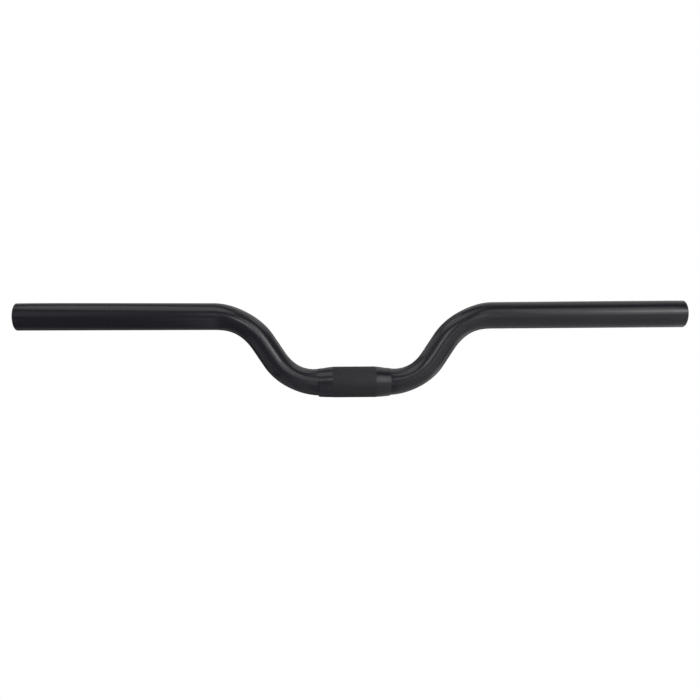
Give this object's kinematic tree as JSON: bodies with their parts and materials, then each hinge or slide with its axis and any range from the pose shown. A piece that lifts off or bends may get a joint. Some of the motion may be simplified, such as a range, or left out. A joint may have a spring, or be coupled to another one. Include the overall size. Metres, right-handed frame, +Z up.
{
  "type": "bicycle handlebar",
  "caption": "Black riser handlebar for a bicycle: a bent tube with swept-back straight grip arms and a thicker knurled clamp sleeve in the middle.",
  "frame": {"origin": "centre of the stem clamp, on the clamp's axis", "axes": "+X along the clamp to the rider's right, +Y forward, away from the rider, +Z up towards the grips"},
  "size_m": [0.5464, 0.0365, 0.0788],
  "materials": {
    "satin_black_paint": "satin black paint on steel",
    "matt_black_paint": "matt black paint over a fine straight knurl"
  },
  "bodies": {
    "root": {"handlebar_tube": "satin_black_paint", "clamp_sleeve": "matt_black_paint"}
  },
  "joints": []
}
